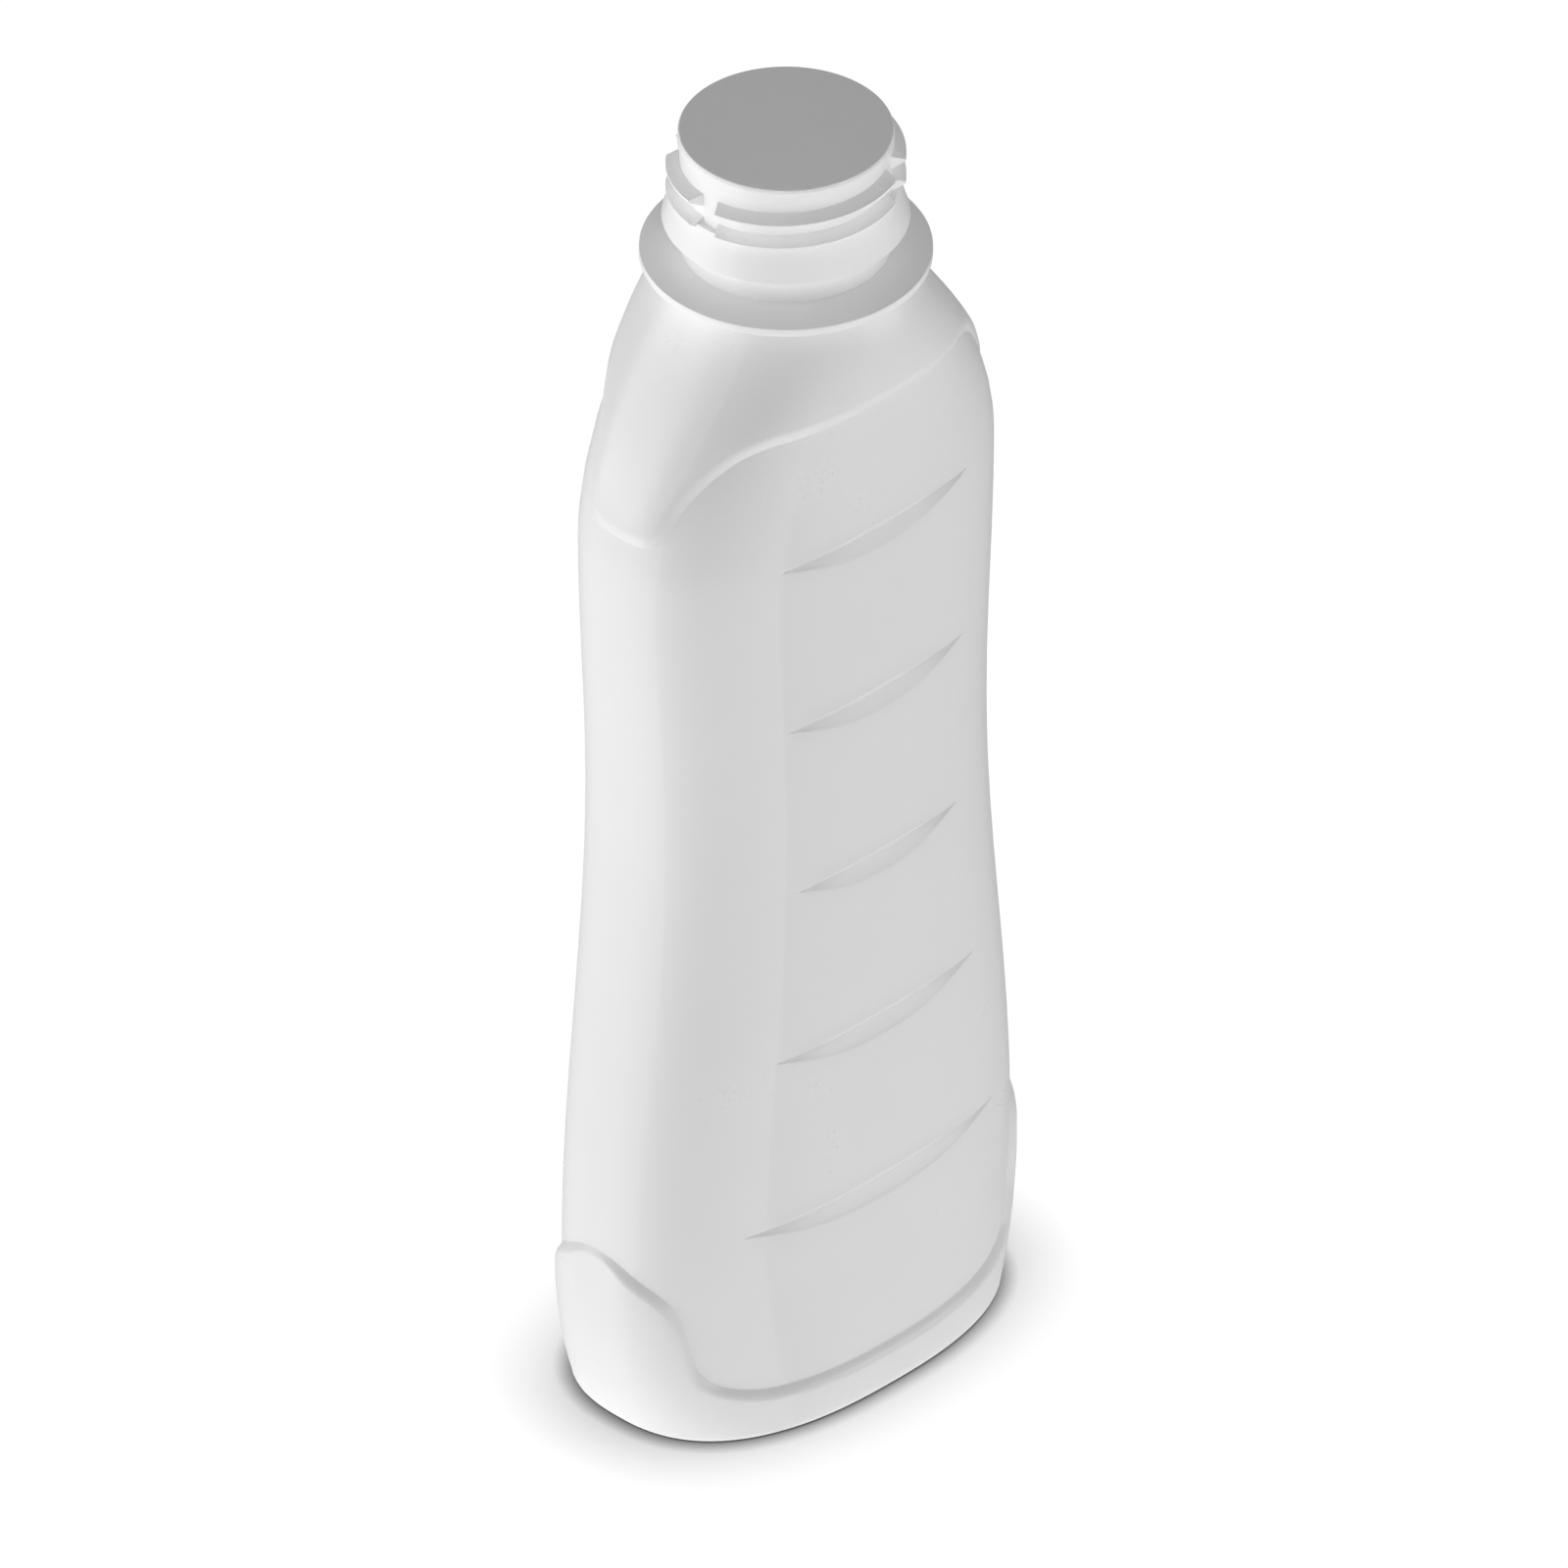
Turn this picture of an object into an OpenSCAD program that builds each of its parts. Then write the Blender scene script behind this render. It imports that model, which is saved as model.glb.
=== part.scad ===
// Oval household bottle with a waisted, blow-moulded body, grip flutes on both broad faces,
// a raised shoulder and a raised base band, a round neck with an interrupted screw thread,
// a tamper collar and a carrying ring. A thin disc is bonded over the mouth.
// Millimetres. Z is up, X is the wide direction and Y the narrow one. The base stands on Z = 0.
// Every body section is a superellipse. The body is the same in all four quarters.

/* [Heights] */
// height of the bottle from the floor to the top of its lip
bottle_h = 226.6; // [218:0.1:240]
// height of the neck: it starts at the top of the body, where the carrying ring sits
neck_h = 23.2; // [22:0.1:25]
// height of the widest section
belly_z = 28.4; // [25:0.1:31]
// height of the slimmest section
waist_z = 111.6; // [100:0.1:122]
// distance from the top of the body down to where the shoulder starts to close in
shoulder_drop = 43.7; // [40:0.1:50]

/* [Body widths] */
// width across the foot, without the band
foot_w = 71.8; // [66:0.1:76]
// width across the belly, without the band
belly_w = 82.8; // [78:0.1:86]
// width across the waist
waist_w = 71; // [66:0.1:76]
// width across the shoulder, without its skirt
shoulder_w = 74.8; // [70:0.1:79]
// diameter of the body under the carrying ring, without the skirt
crown_d = 34; // [33.4:0.1:38]
// front to back across the foot, without the band
foot_d = 45.9; // [42:0.1:50]
// front to back above the belly
body_d = 43.2; // [40:0.1:46]

/* [Section shape] */
// how square a body section is: 2 is an ellipse
section_power = 2.5; // [2:0.05:3]
// how suddenly the shoulder starts to close in: 1 is a straight slope
shoulder_power = 2; // [1.4:0.05:2.6]
// how softly it ends under the carrying ring: 1 does not ease at all
shoulder_ease = 1.4; // [1:0.05:1.8]
// how late the depth closes in: a high number keeps the broad faces flat for longer
depth_power = 8; // [4:0.5:12]

/* [Base band] */
// how far the band stands out from the body
band_raise = 1.2; // [0.6:0.05:1.8]
// width over which the band's top edge rounds out
band_edge = 1.9; // [1:0.1:2.6]
// height of the band's top edge in the middle of a broad face
band_front_z = 7.8; // [6:0.1:8.4]
// its height a third of the way round towards the end
band_third_z = 8.6; // [8.4:0.1:10]
// its height halfway round
band_half_z = 10.9; // [10:0.1:12.4]
// its height where it starts to climb
band_turn_z = 14.5; // [12.8:0.1:16.5]
// its height halfway up the steep climb
band_climb_z = 21.5; // [18:0.1:23.5]
// its height where the climb eases off
band_ease_z = 26.4; // [24:0.1:28]
// its height at the shoulder of the end tab
band_tab_side_z = 30.7; // [28.5:0.1:32]
// its height at the top of the end tab
band_tab_z = 34.1; // [32.4:0.1:34.4]
// width across the flat faces of the two end tabs
tab_w = 84.3; // [83.6:0.1:85]
// how deep that flat is cut into the tab's rounded end
tab_flat = 0.45; // [0.2:0.05:0.9]

/* [Shoulder skirt] */
// how far the skirt stands out from the body
skirt_raise = 1.2; // [0.6:0.05:1.5]
// width over which the skirt's lower edge rounds out
skirt_edge = 3.4; // [2:0.1:4]
// distance from the top of the body down to the tip of the end tongue
skirt_tip_drop = 36.3; // [35:0.1:37.5]
// down to the skirt's lower edge at the side of the tip
skirt_side_drop = 34.1; // [32.5:0.1:35]
// down to it halfway up the side of the tongue
skirt_climb_drop = 28.4; // [26:0.1:30.5]
// down to it where the tongue leans over
skirt_lean_drop = 23.7; // [22:0.1:25.5]
// down to where the tongue turns into the long edge
skirt_turn_drop = 20.3; // [19:0.1:21.5]
// down to the edge in the middle of a broad face
skirt_front_drop = 17.3; // [15:0.1:18]

/* [Grip flutes] */
// height of the lowest flute's tips
flute_low_z = 38.2; // [38:0.1:39]
// distance from one flute to the next
flute_pitch = 31; // [30.4:0.1:31.4]
// least distance from the highest flute up to the skirt's edge
flute_clear = 20; // [8:0.5:25]
// length of the lowest flute
flute_low_len = 54; // [44:0.5:58]
// length of the second flute
flute_second_len = 42.5; // [36:0.5:48]
// length of the third flute, at the waist
flute_third_len = 34; // [28:0.5:40]
// length of the fourth flute
flute_fourth_len = 38; // [32:0.5:44]
// length of the highest flute
flute_top_len = 40.5; // [34:0.5:46]
// depth of a flute in its middle
flute_depth = 1.3; // [0.6:0.05:1.8]
// how far a flute's upper edge bows up above its tips
flute_rise = 0.9; // [0.6:0.1:1.4]
// how far its lower edge bows down below them
flute_drop = 4.1; // [3.4:0.1:4.6]

/* [Foot] */
// radius of the edge the bottle stands on
foot_r = 1.2; // [0.6:0.1:1.8]
// width of the standing rim
rim_w = 4; // [3:0.1:6]
// height of the hollow under the base
push_up = 1.6; // [0.8:0.1:3]

/* [Neck] */
// outside diameter of the neck wall
neck_d = 33.2; // [32.4:0.1:34]
// outside diameter of the lip
lip_d = 33.8; // [33.6:0.1:35]
// height of the lip
lip_h = 1.8; // [1.2:0.1:2.2]

/* [Carrying ring] */
// diameter of the ring
ring_d = 45.8; // [45.4:0.1:50]
// thickness of the ring at its edge
ring_t = 1.4; // [1:0.1:2]
// extra thickness of the ring at the neck
ring_slope = 0.75; // [0.2:0.05:1.2]

/* [Tamper collar] */
// largest diameter of the collar, at its lower edge
collar_d = 38.8; // [37.6:0.1:40]
// diameter at the top of its cone
collar_top_d = 35.2; // [34.6:0.1:36]
// height of the cone
collar_h = 5.7; // [5:0.1:6]
// gap between the collar's lower edge and the carrying ring's top at the neck
collar_gap = 5.3; // [4.8:0.1:5.6]
// diameter of the step under the collar
collar_root_d = 34.6; // [34.2:0.1:35]

/* [Thread] */
// thread diameter over the crest
thread_d = 37.5; // [36.6:0.1:38]
// rise of the thread in one turn
thread_pitch = 4.23; // [4:0.01:4.4]
// width of the thread at the neck
thread_root_w = 2.3; // [1.8:0.1:2.8]
// width of the thread at its crest
thread_crest_w = 0.4; // [0.3:0.05:0.8]
// distance from the top of the lip down to the upper end of the thread
thread_top_gap = 3.4; // [3.2:0.1:3.8]
// half angle of a vent gap at the neck
gap_root_a = 4.4; // [3:0.1:6]
// half angle of a vent gap at the crest
gap_crest_a = 8.6; // [7:0.1:11]

/* [Mouth seal] */
// thickness of the disc bonded over the mouth
seal_t = 0.4; // [0.3:0.05:0.6]
// amount the disc is smaller than the lip, each side
seal_inset = 0.05; // [0.05:0.05:0.4]
// rounding of the disc's upper edge
seal_r = 0.3; // [0.1:0.05:0.3]

/* [Hidden] */
// body quarter is split into this many steps, closer together halfway round a quarter
quarter_n = 22;
cols = 4 * quarter_n;
function col_angle(i) = 360 * i / cols + 4.3 * sin(4 * 360 * i / cols);
crown_power = 2;
lip_top = bottle_h;
body_h = bottle_h - neck_h;
shoulder_z = body_h - shoulder_drop;
skirt_tip_z = body_h - skirt_tip_drop;
skirt_side_z = body_h - skirt_side_drop;
skirt_climb_z = body_h - skirt_climb_drop;
skirt_lean_z = body_h - skirt_lean_drop;
skirt_turn_z = body_h - skirt_turn_drop;
skirt_front_z = body_h - skirt_front_drop;
flute_n = 1 + floor((skirt_front_z - flute_clear - flute_low_z) / flute_pitch);
ring_top = body_h + ring_t;
collar_low = ring_top + ring_slope + collar_gap;
collar_top = collar_low + collar_h;

function ramp(t) = (1 - cos(180 * min(1, max(0, t)))) / 2;
function mix(a, b, t) = a + (b - a) * t;
function clip(v, lo, hi) = min(hi, max(lo, v));
function sgn(v) = v < 0 ? -1 : 1;
function power(v, p) = v <= 0 ? 0 : pow(v, p);

// smooth curve through points [angle, height]: slopes are the harmonic mean of both sides
function seg(p, i) = (p[i + 1][1] - p[i][1]) / (p[i + 1][0] - p[i][0]);
function slope(p, i) =
    i == 0 || i == len(p) - 1 ? 0 :
    let (s = seg(p, i - 1), t = seg(p, i)) s * t <= 0 ? 0 : 2 * s * t / (s + t);
function span(p, x, i = 0) = i >= len(p) - 2 || x < p[i + 1][0] ? i : span(p, x, i + 1);
function curve(p, x) =
    let (i = span(p, x), w = p[i + 1][0] - p[i][0], t = clip((x - p[i][0]) / w, 0, 1),
         m0 = slope(p, i) * w, m1 = slope(p, i + 1) * w,
         a = p[i][1], b = p[i + 1][1])
    a * (1 + 2 * t) * (1 - t) * (1 - t) + m0 * t * (1 - t) * (1 - t)
    + b * t * t * (3 - 2 * t) - m1 * t * t * (1 - t);

// half width, half depth and squareness of the body at a height
function up_shoulder(z) = clip((z - shoulder_z) / (body_h - shoulder_z), 0, 1);
function close_in(z) = 1 - power(1 - power(up_shoulder(z), shoulder_power), shoulder_ease);
function close_depth(z) = power(up_shoulder(z), depth_power);
function half_w(z) =
    z < belly_z ? mix(foot_w, belly_w, 1 - pow(1 - max(0, z) / belly_z, 2)) / 2 :
    z < waist_z ? mix(belly_w, waist_w, ramp((z - belly_z) / (waist_z - belly_z))) / 2 :
    z < shoulder_z ? mix(waist_w, shoulder_w, ramp((z - waist_z) / (shoulder_z - waist_z))) / 2 :
    mix(shoulder_w, crown_d, close_in(z)) / 2;
function half_d(z) =
    z < belly_z ? mix(foot_d, body_d, ramp(z / belly_z)) / 2 :
    mix(body_d, crown_d, close_depth(z)) / 2;
function squareness(z) = mix(section_power, crown_power, close_depth(z));

// point of a section at an angle, moved out by o, without the relief
function on_body(t, z, o = 0) =
    let (a = half_w(z), b = half_d(z), n = squareness(z), c = cos(t), s = sin(t),
         x = a * sgn(c) * power(abs(c), 2 / n), y = b * sgn(s) * power(abs(s), 2 / n),
         u = sgn(c) * power(abs(c), 2 - 2 / n) / a, v = sgn(s) * power(abs(s), 2 - 2 / n) / b,
         l = sqrt(u * u + v * v))
    [x + o * u / l, y + o * v / l];

// angle measured from the middle of a broad face, 0 to 90
function from_front(t) = abs(asin(clip(cos(t), -1, 1)));
// angle measured from the middle of a narrow end, 0 to 90
function from_end(t) = 90 - from_front(t);

band_line = [[0, band_front_z], [30, band_third_z], [47, band_half_z], [54, band_turn_z],
             [56.5, band_climb_z], [62, band_ease_z], [72, band_tab_side_z], [90, band_tab_z]];
skirt_line = [[0, skirt_tip_z], [9, skirt_tip_z + 0.3], [16, skirt_side_z],
              [23, skirt_climb_z], [31, skirt_lean_z], [40, skirt_turn_z],
              [52, skirt_front_z - 1], [90, skirt_front_z]];
function band_top(t) = curve(band_line, from_front(t));
function skirt_low(t) = curve(skirt_line, from_end(t));

// how far the base band stands out: at the ends it reaches out to the tab's flat face
tab_raise = (tab_w - belly_w) / 2 + tab_flat;
function band_out(t) = mix(band_raise, tab_raise, ramp((from_front(t) - 49) / 15));

// height of a raised field's rounded edge: where its line climbs, it gets taller to stay as wide
function climb(lo, hi, t) =
    let (p = on_body(t - 1, lo), q = on_body(t + 1, hi),
         run = sqrt(pow(q[0] - p[0], 2) + pow(q[1] - p[1], 2)))
    min(2.4, sqrt(1 + pow((hi - lo) / run, 2)));
function band_edge_h(t) = band_edge * climb(band_top(t - 1), band_top(t + 1), t);
function skirt_edge_h(t) = skirt_edge * climb(skirt_low(t - 1), skirt_low(t + 1), t);

// rounded step of a raised field: 0 on its edge line, 1 once it is a whole edge away from it
function step_up(s) = sin(90 * clip(s, 0, 1));
function relief(t, z, band_h, skirt_h) =
    band_out(t) * step_up((band_top(t) - z) / band_h)
    + skirt_raise * step_up((z - skirt_low(t)) / skirt_h);

// depth of the flute at x on a row dz above the flute's centre line
function flute_cut(x, dz, len) =
    let (k = 1 - pow(2 * x / len, 2), up = flute_rise * k, mid = -0.3 * flute_drop * k,
         low = -flute_drop * k)
    k <= 0 || dz >= up || dz <= low ? 0 :
    flute_depth * k * (dz > mid ? (up - dz) / (up - mid) : (dz - low) / (mid - low));
function flute_z(i) = flute_low_z + i * flute_pitch;
flute_lens = [flute_low_len, flute_second_len, flute_third_len, flute_fourth_len, flute_top_len];
function flute_len(i) = flute_lens[min(i, len(flute_lens) - 1)];
function flutes(x, z) =
    max([for (i = [0:flute_n - 1]) flute_cut(x, z - flute_z(i), flute_len(i))]);

function skin(t, z, band_h, skirt_h) =
    let (p = on_body(t, z, relief(t, z, band_h, skirt_h)), y = abs(p[1]) - flutes(p[0], z))
    [clip(p[0], -tab_w / 2, tab_w / 2), sgn(p[1]) * y, z];

// rows of the body: the lower ones follow the band, the upper ones follow the skirt
low_steps = [0.3, 0.65];
edge_steps = [1, 0.7, 0.4, 0.15, 0, -0.3];
function fill_steps(a, b, n) = [for (i = [1:n]) mix(a, b, i / (n + 1))];
// the rows through a flute bow with its edges and close up beside it
function flute_rows(i, t) =
    let (z = flute_z(i), k = max(0.2, 1 - pow(2 * on_body(t, z)[0] / flute_len(i), 2)))
    [z - flute_drop * k, z - 0.6 * flute_drop * k, z - 0.3 * flute_drop * k, z, z + flute_rise * k];
function mid_rows(t) = [for (i = [0:flute_n - 1]) each concat(
    flute_rows(i, t),
    i < flute_n - 1 ? fill_steps(flute_z(i) + flute_rise, flute_z(i + 1) - flute_drop, 2) : [])];
dome_n = 10;
function column(t) =
    let (e = band_top(t), d = skirt_low(t), r = foot_r, bh = band_edge_h(t), sh = skirt_edge_h(t),
         rows = concat(
             [for (f = [0, 30, 60, 90]) [r * (1 - sin(f)), r * (1 - cos(f))]],
             [for (f = low_steps) [0, mix(r, e - bh, f)]],
             [for (f = edge_steps) [0, e - f * bh]],
             [for (z = mid_rows(t)) [0, z]],
             [for (f = [-0.15, 0, 0.15, 0.4, 0.7, 1]) [0, d + f * sh]],
             [for (i = [1:dome_n]) [0, mix(d + sh, body_h, i / dome_n)]]))
    [for (row = rows) ring_point(t, row[0], row[1], bh, sh)];
function ring_point(t, inset, z, band_h, skirt_h) =
    let (p = skin(t, max(z, 0), band_h, skirt_h), q = on_body(t, foot_r, band_out(t) - inset),
         near = z < foot_r)
    near ? [q[0], q[1], z] : p;

module body_form() {
    under = [for (k = [0:1]) for (i = [0:cols - 1])
        let (t = col_angle(i),
             q = on_body(t, foot_r, band_out(t) - foot_r - rim_w - 3 * k))
        [q[0], q[1], k * push_up]];
    sides = [for (i = [0:cols - 1]) column(col_angle(i))];
    rows = len(sides[0]);
    walls = [for (j = [0:rows - 1]) for (i = [0:cols - 1]) sides[i][j]];
    // the hollow's inner ring comes first, then the rim, then the wall upwards
    inner = [for (i = [0:cols - 1]) under[cols + i]];
    rim = [for (i = [0:cols - 1]) under[i]];
    pts = concat(inner, rim, walls, [[0, 0, push_up], [0, 0, body_h]]);
    n = rows + 2;
    low = len(pts) - 2;
    high = len(pts) - 1;
    quads = [for (j = [0:n - 2]) for (i = [0:cols - 1])
        let (a = j * cols + i, b = j * cols + (i + 1) % cols, c = b + cols, d = a + cols)
        each [[a, c, b], [a, d, c]]];
    caps = [for (i = [0:cols - 1]) each [
        [low, i, (i + 1) % cols],
        [high, (n - 1) * cols + (i + 1) % cols, (n - 1) * cols + i]]];
    polyhedron(points = pts, faces = concat(quads, caps), convexity = 6);
}

module neck_form() {
    rotate_extrude($fn = 96)
        polygon([
            [0, body_h - 3], [neck_d / 2 - 1, body_h - 3], [neck_d / 2 - 1, body_h],
            [ring_d / 2, body_h], [ring_d / 2, ring_top],
            [neck_d / 2, ring_top + ring_slope], [neck_d / 2, collar_low - 1.2],
            [collar_root_d / 2, collar_low - 1.2], [collar_root_d / 2, collar_low],
            [collar_d / 2, collar_low], [collar_top_d / 2, collar_top],
            [neck_d / 2, collar_top], [neck_d / 2, lip_top - lip_h],
            [lip_d / 2, lip_top - lip_h], [lip_d / 2, lip_top], [0, lip_top]]);
}

// one run of thread between the vent gaps at angles a0 and a1, angles growing upwards
module thread_run(a0, a1) {
    n = ceil((a1 - a0) / 7.5);
    ra = thread_root_w / 2;
    ca = thread_crest_w / 2;
    r0 = neck_d / 2 - 0.6;
    rise = thread_pitch / 360;
    top = lip_top - thread_top_gap - ca - 360 * rise;
    wide = ra + (ra - ca) * 0.6 / (thread_d / 2 - neck_d / 2);
    pts = [for (i = [0:n])
        let (r = mix(a0 + gap_root_a, a1 - gap_root_a, i / n),
             c = mix(a0 + gap_crest_a, a1 - gap_crest_a, i / n),
             zr = top + rise * r, zc = top + rise * c)
        each [[r0 * cos(r), r0 * sin(r), zr - wide],
              [thread_d / 2 * cos(c), thread_d / 2 * sin(c), zc - ca],
              [thread_d / 2 * cos(c), thread_d / 2 * sin(c), zc + ca],
              [r0 * cos(r), r0 * sin(r), zr + wide]]];
    faces = concat(
        [[0, 1, 2], [0, 2, 3], [4 * n, 4 * n + 2, 4 * n + 1], [4 * n, 4 * n + 3, 4 * n + 2]],
        [for (i = [0:n - 1]) for (k = [0:3])
            let (a = 4 * i + k, b = 4 * i + (k + 1) % 4, c = b + 4, d = a + 4)
            each [[a, c, b], [a, d, c]]]);
    polyhedron(points = pts, faces = faces, convexity = 4);
}

module threads() {
    gaps = [-240, -180, -60, 0, 120, 180, 300, 360];
    for (i = [0:len(gaps) - 2]) thread_run(gaps[i], gaps[i + 1]);
}

module bottle() {
    color([0.9, 0.9, 0.9]) union() {
        body_form();
        neck_form();
        threads();
    }
}

module mouth_seal() {
    r = lip_d / 2 - seal_inset;
    color([0.72, 0.72, 0.72])
        translate([0, 0, lip_top])
            rotate_extrude($fn = 96)
                polygon([
                    [0, 0], [r, 0], [r, seal_t - seal_r],
                    for (f = [22.5, 45, 67.5]) [r - seal_r * (1 - cos(f)), seal_t - seal_r * (1 - sin(f))],
                    [r - seal_r, seal_t], [0, seal_t]]);
}

bottle();
mouth_seal();
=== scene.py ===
"""Waisted oval bottle with a screw neck: its fine surface, its finishes and a plain studio."""
import math

import bpy
import numpy as np
from bpy.props import FloatProperty, FloatVectorProperty, PointerProperty
from mathutils import Matrix, Vector


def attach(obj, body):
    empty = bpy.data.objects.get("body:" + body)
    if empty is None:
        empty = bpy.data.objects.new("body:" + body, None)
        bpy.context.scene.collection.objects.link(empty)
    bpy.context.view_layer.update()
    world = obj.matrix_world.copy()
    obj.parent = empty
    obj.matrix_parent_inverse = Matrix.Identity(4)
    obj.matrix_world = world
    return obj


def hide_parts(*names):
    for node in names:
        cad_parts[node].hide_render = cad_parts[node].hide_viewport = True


bl_info = {
    "name": "Oval screw-neck bottle",
    "version": (1, 0, 0),
    "blender": (4, 5, 0),
    "location": "View3D > Sidebar > Bottle",
    "description": "Builds a blow-moulded oval bottle, its mouth seal and a plain studio",
    "category": "Object",
}

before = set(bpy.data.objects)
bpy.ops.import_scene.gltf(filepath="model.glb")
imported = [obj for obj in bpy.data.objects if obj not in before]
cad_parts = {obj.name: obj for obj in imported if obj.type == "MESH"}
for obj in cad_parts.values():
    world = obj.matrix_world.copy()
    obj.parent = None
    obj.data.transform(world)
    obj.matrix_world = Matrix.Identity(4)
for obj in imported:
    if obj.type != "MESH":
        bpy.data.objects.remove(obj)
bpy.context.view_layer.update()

# The photo's parallel view: its size and scale, and where the bottle's axis and base lie in it.
PHOTO_PIXELS = 1600
PIXELS_PER_MM = 6.56
AXIS_PIXEL = 802.0
BASE_PIXEL = 1346.8
CAMERA_AZIMUTH = -45
CAMERA_ELEVATION = math.degrees(math.atan(math.sqrt(0.5)))  # the three axes look equally long
CAMERA_DISTANCE = 1.5

FLOOR_HALF = 3.0  # metres, as are the points that the lamps look at
LAMP_AIM = (0, 0, 0.11)
NECK_LAMP_AIM = (0, 0, 0.215)


def length(name, description, mm):
    """A length property whose default is written in millimetres."""
    return FloatProperty(name=name, description=description, default=mm / 1000, min=0,
                         unit="LENGTH", precision=5)


def colour(name, description, rgb):
    """A colour property."""
    return FloatVectorProperty(name=name, description=description, default=rgb, min=0, max=1,
                               size=3, subtype="COLOR")


def ratio(name, description, value, top=1.0):
    """A plain number from 0 to top."""
    return FloatProperty(name=name, description=description, default=value, min=0, max=top,
                         subtype="FACTOR" if top == 1.0 else "NONE")


def turn(name, description, degrees):
    """An angle property whose default is written in degrees."""
    return FloatProperty(name=name, description=description, default=math.radians(degrees),
                         subtype="ANGLE")


class BottleBody(bpy.types.PropertyGroup):
    """Sizes of the blown body."""
    body_h: length("Body height", "Top of the body, under the carrying ring", 203.4)
    belly_z: length("Belly height", "Height of the widest section", 28.4)
    waist_z: length("Waist height", "Height of the slimmest section", 111.6)
    shoulder_z: length("Shoulder height", "Height where the shoulder starts to close in", 159.7)
    foot_w: length("Foot width", "Width across the foot, without the band", 71.8)
    belly_w: length("Belly width", "Width across the belly, without the band", 82.8)
    waist_w: length("Waist width", "Width across the waist", 71)
    shoulder_w: length("Shoulder width", "Width across the shoulder, without its skirt", 74.8)
    crown_d: length("Crown diameter", "Body diameter under the carrying ring", 34)
    foot_d: length("Foot depth", "Front to back across the foot", 45.9)
    body_d: length("Body depth", "Front to back above the belly", 43.2)
    section_power: ratio("Section squareness", "2 is an ellipse", 2.5, 4)
    shoulder_power: ratio("Shoulder start", "How suddenly the shoulder closes in", 2, 3)
    shoulder_ease: ratio("Shoulder ease", "How softly it ends under the ring", 1.4, 3)
    depth_power: ratio("Depth closing", "How late the depth closes in", 8, 12)
    tab_w: length("Tab width", "Width across the flats of the end tabs", 84.3)
    tab_ease: length("Tab flat ease", "How softly the tabs' flats run into the body", 0.08)
    foot_r: length("Foot edge radius", "Radius of the edge that the bottle stands on", 1.2)
    rim_w: length("Standing rim", "Width of the standing rim", 4)
    hollow_w: length("Hollow slope", "Width of the slope from the rim into the hollow", 3)
    push_up: length("Push-up", "Height of the hollow under the base", 1.6)


class BottleRelief(bpy.types.PropertyGroup):
    """Raised fields and flutes."""
    band_raise: length("Band raise", "How far the base band stands out", 1.2)
    band_edge: length("Band edge", "Width over which its edge rounds out", 1.9)
    band_front_z: length("Band front", "Height of its edge in mid-face", 7.8)
    band_third_z: length("Band third", "Height of its edge a third of the way round", 8.6)
    band_half_z: length("Band half", "Height of its edge halfway round", 10.9)
    band_turn_z: length("Band turn", "Height of its edge where it starts to climb", 14.5)
    band_climb_z: length("Band climb", "Height of its edge halfway up the climb", 22)
    band_ease_z: length("Band ease", "Height of its edge where the climb eases off", 27.5)
    band_tab_side_z: length("Tab shoulder", "Height of its edge beside the end tab", 30.7)
    band_tab_z: length("Tab top", "Height of its edge at the top of the end tab", 34.1)
    skirt_raise: length("Skirt raise", "How far the shoulder skirt stands out", 1.2)
    skirt_edge: length("Skirt edge", "Width over which its edge rounds out", 2.9)
    skirt_tip_z: length("Tongue tip", "Height of its edge at the end tongue", 167.1)
    skirt_low_z: length("Tongue round", "Height of its edge beside the tip", 167.4)
    skirt_side_z: length("Tongue corner", "Height of its edge at the side of the tip", 169.3)
    skirt_climb_z: length("Tongue side", "Height of its edge up the side of the tongue", 176)
    skirt_lean_z: length("Tongue lean", "Height of its edge where the tongue leans over", 180.7)
    skirt_turn_z: length("Skirt turn", "Height where the tongue turns into the long edge", 183.6)
    skirt_level_z: length("Skirt level", "Height of its edge where the face starts", 185.1)
    skirt_front_z: length("Skirt front", "Height of its edge in mid-face", 186.1)
    flute_low_z: length("Lowest flute", "Height of the lowest flute's tips", 38.2)
    flute_pitch: length("Flute pitch", "Distance between flutes", 31)
    flute_low_len: length("Lowest flute length", "Length of the lowest flute", 54)
    flute_second_len: length("Second flute length", "Length of the second flute", 42.5)
    flute_third_len: length("Third flute length", "Length of the third flute", 34)
    flute_fourth_len: length("Fourth flute length", "Length of the fourth flute", 38)
    flute_top_len: length("Highest flute length", "Length of the highest flute", 40.5)
    flute_depth: length("Flute depth", "Depth of a flute in its middle", 1.45)
    flute_lip: length("Flute lip", "How much fuller a flute is along its lower wall", 0.12)
    flute_bead: length("Flute bead", "How far the face swells out over its upper edge", 0.08)
    flute_rise: length("Flute rise", "How far its upper edge bows up", 0.9)
    flute_drop: length("Flute drop", "How far its lower edge bows down", 4.1)


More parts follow.
